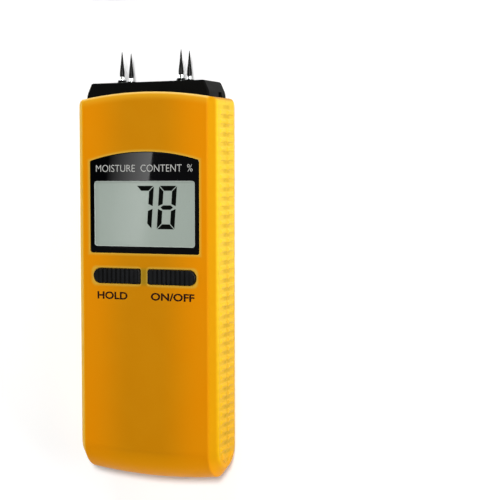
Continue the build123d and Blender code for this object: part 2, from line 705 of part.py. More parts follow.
def save(name, shape):
    """Write one node; a list of identical solids is written as one group."""
    if isinstance(shape, list):
        solids = [solid for piece in shape for solid in piece.solids()]
        shape = Compound(children=solids)
    export_step(shape, f"parts/{name}.step")


os.makedirs("parts", exist_ok=True)

save("front_shell", front_shell())
save("back_shell", back_shell())
save("battery_door", battery_door())
save("head_block", head_block())
for pin_name, pin_x, pin_z in pin_places():
    save(f"probe_pin_{pin_name}", probe_pin(pin_x, pin_z))
save("pin_collars", [pin_collar(x, z) for _, x, z in pin_places()])
save("pin_inserts", [pin_insert(x, z) for _, x, z in pin_places()])
save("pin_terminals", [pin_terminal(x, z) for _, x, z in pin_places()])
save("contact_strips", [contact_strip(side) for side in (-1, 1)])
save("pin_cap", pin_cap())
save("bezel_panel", bezel_panel())
save("display_window", display_window())
save("lcd_glass", lcd_glass())
save("lcd_frame", lcd_frame())
save("elastomer_strips", [elastomer_strip(side) for side in (-1, 1)])
save("hold_key", key_cap(-1))
save("power_key", key_cap(1))
save("hold_switch", switch_body(-1))
save("power_switch", switch_body(1))
save("hold_plunger", switch_plunger(-1))
save("power_plunger", switch_plunger(1))
save("main_board", main_board())
save("board_screws", [board_screw(x, y) for x, y in BOARD_SCREWS])
save("case_screws", [case_screw(x, y) for x, y in CASE_SCREWS])
save("main_chip", chip(-4.0, 40.0, 8.0, 10.4, 1.8, 12, 0.8))
save("op_amps", [chip(-16.0, y, 4.0, 5.0, 1.6, 4, 1.27) for y in (18.0, 27.0)])
save("crystal", crystal())
save("trim_pots", [trim_pot(x, 52.0) for x in (-6.0, 2.0)])
save("capacitors", [electrolytic(x, 14.0) for x in (4.0, 11.0, 18.0)])
save("resistors", [chip_resistor(-6.0 + 5.0 * index, 25.0) for index in range(6)])
save("battery_can", battery_can())
save("battery_studs", battery_studs())
save("battery_snap", battery_snap())
save("battery_lead_red", battery_lead(-1.5, -4.0))
save("battery_lead_black", battery_lead(-5.0, -9.0))
save("battery_foam", battery_foam())
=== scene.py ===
import json
from math import cos, pi, sin

import bmesh
import bpy
from mathutils import Matrix, Vector


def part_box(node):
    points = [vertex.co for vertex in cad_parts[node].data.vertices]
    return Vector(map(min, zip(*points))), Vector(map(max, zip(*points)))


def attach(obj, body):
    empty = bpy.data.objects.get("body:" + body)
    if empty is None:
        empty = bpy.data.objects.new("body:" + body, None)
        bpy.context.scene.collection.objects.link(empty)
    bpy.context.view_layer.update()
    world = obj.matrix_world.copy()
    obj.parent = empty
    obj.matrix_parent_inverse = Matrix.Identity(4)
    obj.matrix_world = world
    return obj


# Looks for a four-pin pocket moisture meter that lies on its back: studio, materials and printed pieces.
# Lengths are in millimetres, and MM turns them into the scene's metres.

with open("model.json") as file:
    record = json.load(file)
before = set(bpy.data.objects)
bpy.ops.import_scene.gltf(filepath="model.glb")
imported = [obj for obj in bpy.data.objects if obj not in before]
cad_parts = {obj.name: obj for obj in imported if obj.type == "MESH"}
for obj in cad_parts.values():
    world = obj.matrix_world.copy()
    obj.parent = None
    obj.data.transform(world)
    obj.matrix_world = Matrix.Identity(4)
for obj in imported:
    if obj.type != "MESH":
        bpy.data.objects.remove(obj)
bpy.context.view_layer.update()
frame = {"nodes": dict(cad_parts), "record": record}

MM = 0.001

# ---- studio ----
CAMERA_PLACE = Vector((242.05, 50.04, 530.56))
CAMERA_FORWARD = Vector((-0.42069, -0.05849, -0.90532))
CAMERA_RIGHT = Vector((0.90699, -0.00529, -0.42112))
CAMERA_LENS = 95.35
SENSOR_WIDTH = 36.0
CAMERA_SHIFT = 0.18         # the object lies left of the middle of the picture
FLOOR_SIZE = 6000.0
FLOOR_DROP = 0.1            # keeps the floor just clear of the case's flat back
FLOOR_TONE = 0.94
FLOOR_GLOW = (0.09, 1.0)    # the floor's own light at the meter and far from it, so that it stays white
FLOOR_GLOW_REACH = (100.0, 360.0)
WORLD_LIGHT = 0.06
BACKDROP_LIGHT = 1.0        # what the camera itself sees past the floor

# ---- card that the bezel reflects, with a leaning bright edge ----
CARD_HEIGHT = 1000.0
CARD_LEAN = 0.150           # x gained per y along the bright edge
CARD_EDGE = (-455.5, 69.0)  # a point on the bright edge
CARD_FAR_X = -900.0
CARD_Y = (-42.0, 700.0)
CARD_FADE = 60.0            # the light fades out over this width
CARD_LIGHT = 3.0

# ---- the case's shape, which its colours and the small pieces follow ----
case_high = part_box("front_shell")[1] / MM
bezel_low, bezel_high = [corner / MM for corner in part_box("bezel_panel")]
window_low, window_high = [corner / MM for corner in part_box("display_window")]
key_low, key_high = [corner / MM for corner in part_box("power_key")]
key_middle = (key_low + key_high) / 2
CASE_ARCH_RADIUS = 166.6    # of the case's top end
BEZEL_ARCH_RADIUS = 87.5    # of the display recess's top end
KEY_FLANGE = 0.8            # hidden inside the case all round the key
KEY_CORNER = 1.5
KEY_GROOVE_PITCH = 2.1
RIB_PITCH = 3.83
RIB_CREST = 75.3
RIB_MIDDLE_Z = 13.1
COLLAR_FLANGE = 1.3         # height of the collars' flange over the head
WINDOW_LAP = 1.22           # hidden under the bezel all round the window

# ---- the case's colours, many of them painted highlights and painted shade ----
AMBER_PLAIN = (0.55, 0.22, 0.004)
AMBER_MIDDLE = (0.50, 0.190, 0.002)
# painted highlight: the flanks of the front are a lighter amber than its middle
AMBER_FLANK_HIGHLIGHT = (0.66, 0.222, 0.001)
# painted highlights along the top arch and brightest at its rim
AMBER_ARCH_HIGHLIGHT = (0.72, 0.36, 0.015)
AMBER_ARCH_RIM_HIGHLIGHT = (0.95, 0.66, 0.20)
# painted highlight round the key openings and the display recess
AMBER_RING_HIGHLIGHT = (0.58, 0.36, 0.035)
# painted shade on the strip between the two keys
AMBER_BRIDGE_SHADE = (0.27, 0.18, 0.010)
# painted highlight: a yellower amber on the chamfers
AMBER_CHAMFER_HIGHLIGHT = (0.62, 0.272, 0.0015)
# painted highlight: a paler yellow along the left chamfer
AMBER_LEFT_CHAMFER_HIGHLIGHT = (0.88, 0.50, 0.004)
# painted highlight: the grips are yellower than the front, deepening to a deeper amber towards the foot
AMBER_GRIP_HIGHLIGHT = (0.84, 0.57, 0.030)
AMBER_GRIP_FOOT = (0.75, 0.39, 0.004)
# painted shade between the grip ribs
AMBER_HOLLOW_SHADE = (0.56, 0.31, 0.001)
# painted highlight: a brighter, redder amber on the rounded foot that lifts its shading
AMBER_FOOT_HIGHLIGHT = (0.98, 0.37, 0.001)
AMBER_MOTTLE = (0.60, 0.28, 0.008)
# real wear along the edges, over a painted edge highlight
AMBER_WEAR_AND_EDGE_HIGHLIGHT = (0.90, 0.58, 0.12)
AMBER_GLINT = (1.0, 0.72, 0.25, 1.0)    # tint of its reflections

# ---- from where to where each of them fades in ----
FLANK_HIGHLIGHT_FADE = (6.0, 27.0)            # out from the middle of the width
CHAMFER_HIGHLIGHT_FADE = (28.6, 30.2)
LEFT_CHAMFER_HIGHLIGHT_FADE = (-28.3, -29.8)
GRIP_LIGHT_AND_SHADE_FADE = (31.3, 32.6)
ARCH_HIGHLIGHT_FADE = (-4.1, -0.2)            # towards the rim of the top end
ARCH_RIM_HIGHLIGHT_FADE = (-1.2, -0.1)
FRONT_FADE = (-2.0, -0.4)           # up to the front face
GRIP_FOOT_FADE = (20.0, -75.0)      # down towards the foot
HOLLOW_SHADE_FADE = (30.0, -70.0)
FOOT_HIGHLIGHT_FADE = (-69.0, -81.0)
LEFT_CHAMFER_HIGHLIGHT_MOST = 0.85            # and how strongly, where that is less than fully
ARCH_HIGHLIGHT_MOST = 0.8
FRONT_MOST = 0.75
HOLLOW_SHADE_MOST = (0.55, 0.85)         # at the two ends of their fade

# ---- and from where to where these fade out again ----
KEY_RING_HIGHLIGHT = (0.2, 1.5)               # out from the rim of an opening
BEZEL_RING_HIGHLIGHT = (0.1, 1.5)
BRIDGE_SHADE_WIDTH = (1.0, 2.2)           # away from the middle between the keys
BRIDGE_SHADE_LENGTH = (2.6, 4.6)
HOLLOW_SHADE_REACH = (2.0, 4.6)          # away from the middle of the depth

# ---- printed pieces and the window's edge ----
INK_HEIGHT = 0.03
DIGIT_WIDTH = 8.2
DIGIT_HEIGHT = 18.35
DIGIT_BAR = 2.1             # thickness of a segment
DIGIT_MITRE = 0.26          # gap at the corners, measured along the digit's edge
DIGIT_SLANT = 1.3 / DIGIT_HEIGHT
DIGIT_BOTTOM = 26.05
DIGIT_RIGHT_TOP = {"seven": 3.6, "eight": 14.3}
TITLE_PLACE = ((-22.6, 22.6), (50.35, 53.35))
HOLD_PLACE = ((-22.2, -7.8), (-4.15, -0.85))
POWER_PLACE = ((3.2, 23.3), (-4.05, -0.75))
TITLE_WEIGHT = -0.008
LABEL_WEIGHT = 0.03
WINDOW_PLACE = [(low + WINDOW_LAP, high - WINDOW_LAP) for low, high in zip(window_low.xy, window_high.xy)]
WINDOW_CORNER = 1.2
# the window's edge ring is pale as a painted highlight of its polished edge
WINDOW_EDGE = 0.28          # width of the window's bright edge
WINDOW_EDGE_DEPTH = 0.5
WINDOW_EDGE_FALL = 0.1      # how much lower the edge's inner side is
WINDOW_EDGE_SINK = 0.12     # below the bezel's face
CORNER_STEPS = 8


# ---------------------------------------------------------------- studio

def make_camera():
    """The camera that was fitted to the photograph's front view."""
    data = bpy.data.cameras.new("camera")
    data.lens = CAMERA_LENS
    data.sensor_width = SENSOR_WIDTH
    camera = bpy.data.objects.new("camera", data)
    bpy.context.scene.collection.objects.link(camera)
    data.shift_x = CAMERA_SHIFT
    forward = CAMERA_FORWARD.normalized()
    up = CAMERA_RIGHT.cross(forward).normalized()
    right = forward.cross(up)
    camera.matrix_world = Matrix((right, up, -forward)).transposed().to_4x4()
    camera.location = CAMERA_PLACE * MM
    bpy.context.scene.camera = camera


def softbox(name, place, aim, width, height, watts):
    """White rectangular lamp that faces a point."""
    data = bpy.data.lights.new(name, "AREA")
    data.shape = "RECTANGLE"
    data.size = width * MM
    data.size_y = height * MM
    data.energy = watts
    lamp = bpy.data.objects.new(name, data)
    bpy.context.scene.collection.objects.link(lamp)
    lamp.location = Vector(place) * MM
    direction = (Vector(aim) - Vector(place)).normalized()
    lamp.rotation_mode = "QUATERNION"
    lamp.rotation_quaternion = direction.to_track_quat("-Z", "Y")


def sheet(name, corners, height):
    """Flat four-cornered sheet, facing up."""
    mesh = bpy.data.meshes.new(name)
    form = bmesh.new()
    form.faces.new([form.verts.new((x * MM, y * MM, height * MM)) for x, y in corners])
    form.to_mesh(mesh)
    form.free()
    made = bpy.data.objects.new(name, mesh)
    bpy.context.scene.collection.objects.link(made)
    return made


def ramp(tree, value, source, target, smooth=False):
    """Value mapped from the source range to the target range, clamped at both ends."""
    made = tree.nodes.new("ShaderNodeMapRange")
    made.interpolation_type = "SMOOTHSTEP" if smooth else "LINEAR"
    for socket, number in zip(("From Min", "From Max", "To Min", "To Max"), (*source, *target)):
        made.inputs[socket].default_value = number
    tree.links.new(value, made.inputs["Value"])
    return made.outputs["Result"]


def make_floor():
    """Pale, evenly lit table that the meter lies on."""
    half = FLOOR_SIZE / 2
    floor = sheet("floor", [(-half, -half), (half, -half), (half, half), (-half, half)], -FLOOR_DROP)
    material = bpy.data.materials.new("floor_white")
    material.use_nodes = True
    tree = material.node_tree
    surface = tree.nodes["Principled BSDF"]
    surface.inputs["Base Color"].default_value = (FLOOR_TONE, FLOOR_TONE, FLOOR_TONE, 1)
    surface.inputs["Roughness"].default_value = 0.9
    surface.inputs["Specular IOR Level"].default_value = 0.0
    surface.inputs["Emission Color"].default_value = (1, 1, 1, 1)
    place = tree.nodes.new("ShaderNodeTexCoord")
    reach = tree.nodes.new("ShaderNodeVectorMath")
    reach.operation = "LENGTH"
    tree.links.new(place.outputs["Object"], reach.inputs[0])
    glow = ramp(tree, reach.outputs["Value"], [r * MM for r in FLOOR_GLOW_REACH], FLOOR_GLOW)
    tree.links.new(glow, surface.inputs["Emission Strength"])
    floor.data.materials.append(material)


def gloss_card():
    """Card that only shows as a soft-edged reflection in the glossy bezel, brighter towards one side."""
    edge_x, edge_y = CARD_EDGE
    low, high = [(edge_x + CARD_LEAN * (y - edge_y), y) for y in CARD_Y]
    corners = [(CARD_FAR_X, CARD_Y[0]), low, high, (CARD_FAR_X, CARD_Y[1])]
    card = sheet("gloss_card", corners, CARD_HEIGHT)
    material = bpy.data.materials.new("card_light")
    material.use_nodes = True
    tree = material.node_tree
    tree.nodes.remove(tree.nodes["Principled BSDF"])
    light = tree.nodes.new("ShaderNodeEmission")
    place = tree.nodes.new("ShaderNodeTexCoord")
    across = tree.nodes.new("ShaderNodeVectorMath")
    across.operation = "DOT_PRODUCT"
    across.inputs[1].default_value = (1, -CARD_LEAN, 0)
    tree.links.new(place.outputs["Object"], across.inputs[0])
    edge = edge_x - CARD_LEAN * edge_y
    fade = ((edge - CARD_FADE) * MM, edge * MM)
    strength = ramp(tree, across.outputs["Value"], fade, (0.0, CARD_LIGHT))
    tree.links.new(strength, light.inputs["Strength"])
    tree.links.new(light.outputs[0], tree.nodes["Material Output"].inputs["Surface"])
    card.data.materials.append(material)
    card.visible_camera = False
    card.visible_diffuse = False
    card.visible_shadow = False


def make_world():
    """White for the camera, and a dim even light for everything else."""
    world = bpy.data.worlds.new("studio")
    world.use_nodes = True
    tree = world.node_tree
    tree.nodes.clear()
    path = tree.nodes.new("ShaderNodeLightPath")
    mix = tree.nodes.new("ShaderNodeMixShader")
    out = tree.nodes.new("ShaderNodeOutputWorld")
    tree.links.new(path.outputs["Is Camera Ray"], mix.inputs["Fac"])
    for strength, socket in ((WORLD_LIGHT, mix.inputs[1]), (BACKDROP_LIGHT, mix.inputs[2])):
        light = tree.nodes.new("ShaderNodeBackground")
        light.inputs["Color"].default_value = (1, 1, 1, 1)
        light.inputs["Strength"].default_value = strength
        tree.links.new(light.outputs[0], socket)
    tree.links.new(mix.outputs[0], out.inputs["Surface"])
    bpy.context.scene.world = world
    bpy.context.scene.view_settings.view_transform = "Standard"
    bpy.context.scene.view_settings.look = "None"


make_camera()
make_world()
make_floor()
gloss_card()
softbox("key_right", (760, 60, 330), (30, 0, 13), 420, 520, 2.1)
softbox("overhead", (350, 255, 940), (0, 10, 10), 200, 110, 8.75)
softbox("top_end", (-60, 800, 420), (0, 40, 10), 520, 300, 1.8)
softbox("bottom_end", (60, -800, 240), (0, -60, 10), 420, 240, 0.9)
softbox("rim_left", (-760, 60, 160), (0, 0, 10), 360, 200, 1.7)


# ---------------------------------------------------------------- material helper

class Finish:
    """One Principled material and short calls for its procedural detail."""

    def __init__(self, name, color, roughness, metallic=0.0, specular=0.5):
        self.name = name
        self.material = bpy.data.materials.new(name)
        self.material.use_nodes = True
        self.tree = self.material.node_tree
        self.surface = self.tree.nodes["Principled BSDF"]
        self.set("Base Color", (*color, 1.0))
        self.set("Roughness", roughness)
        self.set("Metallic", metallic)
        self.set("Specular IOR Level", specular)
        self.place = self.tree.nodes.new("ShaderNodeTexCoord").outputs["Object"]

    def set(self, socket, value):
        """Give a socket of the surface a fixed value."""
        self.surface.inputs[socket].default_value = value

    def drive(self, socket, output):
        """Link an output into a socket of the surface."""
        self.tree.links.new(output, self.surface.inputs[socket])

    def node(self, kind, **settings):
        """A new shader node with its settings."""
        made = self.tree.nodes.new(kind)
        for key, value in settings.items():
            setattr(made, key, value)
        return made

    def stretched(self, stretch):
        """Object coordinates, stretched per axis."""
        scale = self.node("ShaderNodeMapping")
        scale.inputs["Scale"].default_value = stretch
        self.tree.links.new(self.place, scale.inputs["Vector"])
        return scale.outputs[0]

    def noise(self, size, detail=4.0, roughness=0.55, stretch=(1, 1, 1)):
        """Noise whose grains are about size millimetres."""
        grain = self.node("ShaderNodeTexNoise")
        grain.inputs["Scale"].default_value = 1 / (size * MM)
        grain.inputs["Detail"].default_value = detail
        grain.inputs["Roughness"].default_value = roughness
        self.tree.links.new(self.stretched(stretch), grain.inputs["Vector"])
        return grain.outputs["Fac"]

    def axis(self, name, absolute=False):
        """One object coordinate in millimetres."""
        split = self.node("ShaderNodeSeparateXYZ")
        self.tree.links.new(self.place, split.inputs[0])
        scaled = self.math("MULTIPLY", split.outputs[name], 1 / MM)
        return self.math("ABSOLUTE", scaled) if absolute else scaled

    def math(self, operation, first, second=0.0):
        """Result of a Math node on numbers or outputs."""
        made = self.node("ShaderNodeMath", operation=operation)
        for socket, value in zip(made.inputs, (first, second)):
            if isinstance(value, (int, float)):
                socket.default_value = value
            else:
                self.tree.links.new(value, socket)
        return made.outputs[0]

    def times(self, first, second):
        """Product of two numbers or outputs."""
        return self.math("MULTIPLY", first, second)

    def distance(self, value, middle):
        """How far a value is from a middle, either way."""
        return self.math("ABSOLUTE", self.math("SUBTRACT", value, middle))

    def remap(self, value, source, target, smooth=False):
        """Value mapped from the source range to the target range."""
        return ramp(self.tree, value, source, target, smooth)

    def fade(self, value, source, most=1.0):
        """0 at the first end of the source range, rising smoothly to most at the other."""
        return self.remap(value, source, (0.0, most), True)

    def patches(self, size, detail=4.0, low=0.35, high=0.65, most=1.0):
        """0 to most in soft patches of noise."""
        return self.remap(self.noise(size, detail), (low, high), (0.0, most))

    def vary_roughness(self, grain, low, high):
        """Roughness between two values, as the grain goes."""
        self.drive("Roughness", self.remap(grain, (0.3, 0.7), (low, high)))

    def blend(self, share, first, second):
        """The first colour, mixed with that share of the second."""
        made = self.node("ShaderNodeMix", data_type="RGBA", blend_type="MIX")
        sockets = [made.inputs[i] for i in (0, 6, 7)]
        for socket, value in zip(sockets, (share, first, second)):
            if isinstance(value, (int, float)):
                socket.default_value = value
            elif isinstance(value, tuple):
                socket.default_value = (*value, 1.0)
            else:
                self.tree.links.new(value, socket)
        return made.outputs[2]

    def edges(self, radius):
        """About 1 along edges and corners, 0 on open faces."""
        rounded = self.node("ShaderNodeBevel", samples=4)
        rounded.inputs["Radius"].default_value = radius * MM
        shape = self.node("ShaderNodeNewGeometry")
        dot = self.node("ShaderNodeVectorMath", operation="DOT_PRODUCT")
        self.tree.links.new(rounded.outputs[0], dot.inputs[0])
        self.tree.links.new(shape.outputs["Normal"], dot.inputs[1])
        return self.remap(dot.outputs["Value"], (0.99, 0.88), (0.0, 1.0))

    def beyond_arch(self, crown_y, radius):
        """Distance in millimetres outside an arch about the middle of the width; negative inside it."""
        across = self.math("POWER", self.axis("X", absolute=True), 2.0)
        along = self.math("POWER", self.distance(self.axis("Y"), crown_y - radius), 2.0)
        from_middle = self.math("SQRT", self.math("ADD", across, along))
        return self.math("SUBTRACT", from_middle, radius)

    def relief(self, height, strength, depth):
        """Bump of that depth in millimetres, added on top of any earlier relief."""
        bump = self.node("ShaderNodeBump")
        bump.inputs["Strength"].default_value = strength
        bump.inputs["Distance"].default_value = depth * MM
        self.tree.links.new(height, bump.inputs["Height"])
        earlier = self.surface.inputs["Normal"].links
        if earlier:
            self.tree.links.new(earlier[0].from_socket, bump.inputs["Normal"])
        self.drive("Normal", bump.outputs[0])


def moulded(name, color, dark, roughness, grain=0.28, depth=0.02, worn=None, specular=0.5):
    """Moulded plastic or rubber: fine texture, faint mottling, handling marks and, if given, worn edges."""
    finish = Finish(name, color, roughness, specular=specular)
    shade = finish.blend(finish.patches(9.0), dark, color)
    if worn is not None:
        scuffs = finish.times(finish.edges(0.35), finish.noise(2.5, 6.0))
        shade = finish.blend(scuffs, shade, worn)
    finish.drive("Base Color", shade)
    finish.vary_roughness(finish.noise(14.0, 5.0, 0.6), roughness - 0.06, roughness + 0.06)
    finish.relief(finish.noise(grain, 2.0), 0.35, depth)
    return finish


def tarnish_patches(finish):
    """0 on clean metal and 1 where it is tarnished."""
    return finish.patches(1.6, 5.0, low=0.35, high=0.7)


def lathe_marks(finish, low, high):
    """Fine lathe rings along the length, and a polish that varies between two roughnesses."""
    finish.vary_roughness(finish.noise(0.8), low, high)
    finish.relief(finish.noise(0.12, 1.0, stretch=(0.02, 1, 0.02)), 0.4, 0.01)


def turned_metal(name, color, roughness, tarnish=None):
    """Bright metal with fine lathe rings along its length and a little tarnish."""
    finish = Finish(name, color, roughness, metallic=1.0)
    dull = tarnish or tuple(c * 0.7 for c in color)
    finish.drive("Base Color", finish.blend(tarnish_patches(finish), color, dull))
    lathe_marks(finish, roughness * 0.7, roughness * 1.5)
    return finish


# ---------------------------------------------------------------- materials

def key_rim_highlight(finish):
    """Share of painted highlight: 1 at the rims of the two key openings, fading out over about a millimetre.
    """
    across = finish.distance(finish.axis("X", absolute=True), key_middle.x)
    along = finish.distance(finish.axis("Y"), key_middle.y)
    squares = []
    for distance, half in zip((across, along), (key_high - key_middle).xy):
        straight = half - KEY_FLANGE - KEY_CORNER
        outside = finish.math("MAXIMUM", finish.math("SUBTRACT", distance, straight))
        squares.append(finish.math("POWER", outside, 2.0))
    reach = finish.math("SQRT", finish.math("ADD", *squares))
    return finish.remap(reach, [KEY_CORNER + out for out in KEY_RING_HIGHLIGHT], (1.0, 0.0), True)


def bezel_rim_highlight(finish):
    """Share of painted highlight: 1 at the rim of the display recess, fading out over about a millimetre."""
    sides = finish.math("SUBTRACT", finish.axis("X", absolute=True), bezel_high.x)
    bottom = finish.math("SUBTRACT", bezel_low.y, finish.axis("Y"))
    arch = finish.beyond_arch(bezel_high.y, BEZEL_ARCH_RADIUS)
    reach = finish.math("MAXIMUM", finish.math("MAXIMUM", sides, bottom), arch)
    return finish.remap(reach, BEZEL_RING_HIGHLIGHT, (1.0, 0.0), True)


def rib_hollow_shade(finish):
    """Share of painted shade: 1 between the grip ribs near the parting line, less towards the front and back,
    0 on their crests.
    """
    turn = finish.times(finish.math("SUBTRACT", finish.axis("Y"), RIB_CREST), 2 * pi / RIB_PITCH)
    hollow_shade_wave = finish.remap(finish.math("COSINE", turn), (0.35, -0.75), (0.0, 1.0), True)
    off_middle = finish.distance(finish.axis("Z"), RIB_MIDDLE_Z)
    return finish.times(hollow_shade_wave, finish.remap(off_middle, HOLLOW_SHADE_REACH, (1.0, 0.2), True))


def front_shade(finish, across):
    """Colour of the front: deeper in the middle, with painted highlights on the flanks, along the top arch
    and round keys and bezel, and painted shade between the keys.
    """
    # painted highlight on the flanks, lighter than the deeper middle
    shade = finish.blend(finish.fade(across, FLANK_HIGHLIGHT_FADE), AMBER_MIDDLE, AMBER_FLANK_HIGHLIGHT)
    from_top = finish.beyond_arch(case_high.y, CASE_ARCH_RADIUS)
    # painted highlight along the top arch, brightest at its rim
    shade = finish.blend(finish.fade(from_top, ARCH_HIGHLIGHT_FADE, ARCH_HIGHLIGHT_MOST), shade, AMBER_ARCH_HIGHLIGHT)
    shade = finish.blend(finish.fade(from_top, ARCH_RIM_HIGHLIGHT_FADE, ARCH_HIGHLIGHT_MOST), shade, AMBER_ARCH_RIM_HIGHLIGHT)
    from_front = finish.math("SUBTRACT", finish.axis("Z"), case_high.z)
    on_front = finish.remap(from_front, FRONT_FADE, (0.0, FRONT_MOST))
    # painted highlight round the rims of the key openings and the display recess
    rings = finish.times(finish.math("MAXIMUM", key_rim_highlight(finish), bezel_rim_highlight(finish)), on_front)
    shade = finish.blend(rings, shade, AMBER_RING_HIGHLIGHT)
    # painted shade on the strip between the two keys
    bridge_shade = finish.times(finish.remap(across, BRIDGE_SHADE_WIDTH, (1.0, 0.0)), on_front)
    beside = finish.distance(finish.axis("Y"), key_middle.y)
    bridge_shade = finish.times(bridge_shade, finish.remap(beside, BRIDGE_SHADE_LENGTH, (1.0, 0.0), True))
    return finish.blend(bridge_shade, shade, AMBER_BRIDGE_SHADE)


def grip_light_and_shade(finish, along):
    """Colour of the grips at the sides: a yellower painted highlight that deepens towards the foot, with
    painted shade in the hollows between the ribs.
    """
    shade = finish.blend(finish.remap(along, GRIP_FOOT_FADE, (0.0, 1.0)), AMBER_GRIP_HIGHLIGHT, AMBER_GRIP_FOOT)
    # the painted shade between the ribs grows deeper towards the foot
    depth = finish.remap(along, HOLLOW_SHADE_FADE, HOLLOW_SHADE_MOST)
    return finish.blend(finish.times(rib_hollow_shade(finish), depth), shade, AMBER_HOLLOW_SHADE)


def case_plastic():
    """Amber moulding with painted light: deeper along the middle of the front, painted highlights on the
    flanks, arch, chamfers, grips and foot, painted shade between the keys and the ribs.
    """
    finish = Finish("case_plastic", AMBER_PLAIN, 0.40, specular=0.05)
    finish.set("Specular Tint", AMBER_GLINT)
    across = finish.axis("X", absolute=True)
    along = finish.axis("Y")
    shade = front_shade(finish, across)
    # painted highlight on the chamfers
    shade = finish.blend(finish.fade(across, CHAMFER_HIGHLIGHT_FADE), shade, AMBER_CHAMFER_HIGHLIGHT)
    # painted highlight along the left chamfer
    left_chamfer_highlight = finish.fade(finish.axis("X"), LEFT_CHAMFER_HIGHLIGHT_FADE, LEFT_CHAMFER_HIGHLIGHT_MOST)
    shade = finish.blend(left_chamfer_highlight, shade, AMBER_LEFT_CHAMFER_HIGHLIGHT)
    # the grips take their painted highlight and the painted shade between their ribs
    shade = finish.blend(finish.fade(across, GRIP_LIGHT_AND_SHADE_FADE), shade, grip_light_and_shade(finish, along))
    # painted highlight on the rounded foot
    shade = finish.blend(finish.remap(along, FOOT_HIGHLIGHT_FADE, (0.0, 1.0)), shade, AMBER_FOOT_HIGHLIGHT)
    shade = finish.blend(finish.patches(16.0, 3.0, most=0.10), shade, AMBER_MOTTLE)
    # scuffed wear along the edges from the noise, on top of a painted edge highlight that is never less than
    # a quarter
    wear_and_edge_highlight = finish.remap(finish.noise(3.0, 6.0), (0.3, 0.7), (0.25, 0.55))
    shade = finish.blend(finish.times(finish.edges(0.5), wear_and_edge_highlight), shade, AMBER_WEAR_AND_EDGE_HIGHLIGHT)
    finish.drive("Base Color", shade)
    finish.vary_roughness(finish.noise(12.0, 6.0, 0.65), 0.34, 0.48)
    finish.relief(finish.noise(0.22, 2.0), 0.25, 0.012)
    finish.relief(finish.noise(30.0, 2.0), 0.10, 0.20)
    return finish


def key_rubber():
    """Black key: near-black painted shade in the grip grooves and a painted shadow round the rim, a little
    lighter on the ribs.
    """
    rib_dark, rib_pale = (0.0045, 0.005, 0.0055), (0.0075, 0.008, 0.009)
    groove_painted_shade, rim_painted_shadow = (0.0016, 0.0017, 0.0018), (0.0004, 0.0004, 0.0004)
    finish = Finish("key_plastic", (0.004, 0.0045, 0.005), 0.42, specular=0.22)
    from_middle = finish.math("SUBTRACT", finish.axis("X", absolute=True), key_middle.x)
    turn = finish.times(from_middle, 2 * pi / KEY_GROOVE_PITCH)
    # painted shade in the grooves between the key's ribs
    groove_shade_share = finish.fade(finish.math("COSINE", turn), (0.0, 0.8))
    shade = finish.blend(groove_shade_share, finish.blend(finish.patches(9.0), rib_dark, rib_pale), groove_painted_shade)
    # painted shadow round the key's rim
    finish.drive("Base Color", finish.blend(finish.edges(0.6), shade, rim_painted_shadow))
    finish.vary_roughness(finish.noise(14.0, 5.0, 0.6), 0.36, 0.48)
    finish.relief(finish.noise(0.2, 2.0), 0.35, 0.02)
    return finish


def collar_chrome():
    """Chrome collars: darkened flange on the head, bright boss above it."""
    flange_grey, bright, cloudy = (0.035, 0.036, 0.035), (0.90, 0.91, 0.92), (0.75, 0.76, 0.76)
    finish = Finish("collar_chrome", (0.86, 0.87, 0.88), 0.08, metallic=1.0)
    flange_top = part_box("pin_collars")[0].y / MM + COLLAR_FLANGE
    upwards = finish.remap(finish.axis("Y"), (flange_top - 0.1, flange_top + 0.1), (0.0, 1.0))
    boss = finish.blend(tarnish_patches(finish), bright, cloudy)
    finish.drive("Base Color", finish.blend(upwards, flange_grey, boss))
    lathe_marks(finish, 0.06, 0.14)
    return finish


def bezel_gloss():
    """Polished black panel with faint wipe marks and specks of dust."""
    black, dusty = (0.0012, 0.0012, 0.0016), (0.004, 0.004, 0.005)
    finish = Finish("bezel_gloss", black, 0.05)
    wipes = finish.noise(5.0, 8.0, 0.7, stretch=(0.25, 1, 1))
    finish.drive("Roughness", finish.remap(wipes, (0.35, 0.75), (0.01, 0.035)))
    specks = finish.patches(0.5, 3.0, low=0.68, high=0.75)
    finish.drive("Base Color", finish.blend(specks, black, dusty))
    return finish


def lcd_grey():
    """Display glass: silvery green-grey with the polariser's fine brushed grain and a faint glow, painted
    light that fills in the recess's shadow.
    """
    deep, silvery, clouded = (0.110, 0.128, 0.112), (0.122, 0.142, 0.125), (0.10, 0.118, 0.104)
    finish = Finish("lcd_grey", (0.14, 0.16, 0.14), 0.22)
    grain = finish.noise(0.25, 3.0, 0.6, stretch=(1, 0.06, 1))
    shade = finish.blend(finish.remap(grain, (0.3, 0.7), (0.0, 1.0)), deep, silvery)
    cloud = finish.noise(18.0, 2.0)
    shade = finish.blend(finish.remap(cloud, (0.35, 0.65), (0.0, 0.25)), shade, clouded)
    finish.drive("Base Color", shade)
    finish.vary_roughness(cloud, 0.16, 0.24)
    finish.set("Coat Weight", 1.0)
    finish.set("Coat Roughness", 0.06)
    # painted light: the display glows faintly, so that the recess casts less shadow on it
    finish.set("Emission Color", (0.83, 0.96, 0.86, 1.0))
    finish.set("Emission Strength", 0.345)
    return finish


def clear_window():
    """Clear window that does not reflect, so that the digits under it stay clean."""
    finish = Finish("clear_window", (0.01, 0.012, 0.011), 0.04, specular=0.0)
    finish.set("Alpha", 0.07)
    finish.drive("Roughness", finish.remap(finish.noise(6.0, 6.0), (0.35, 0.7), (0.03, 0.07)))
    return finish


def segment_black():
    """Lit segments of the display: flat black with a trace of grain."""
    finish = Finish("segment_black", (0.0015, 0.002, 0.0015), 0.35, specular=0.0)
    grain = finish.noise(0.3, 3.0)
    finish.drive("Base Color", finish.blend(grain, (0.001, 0.0015, 0.001), (0.003, 0.004, 0.003)))
    return finish


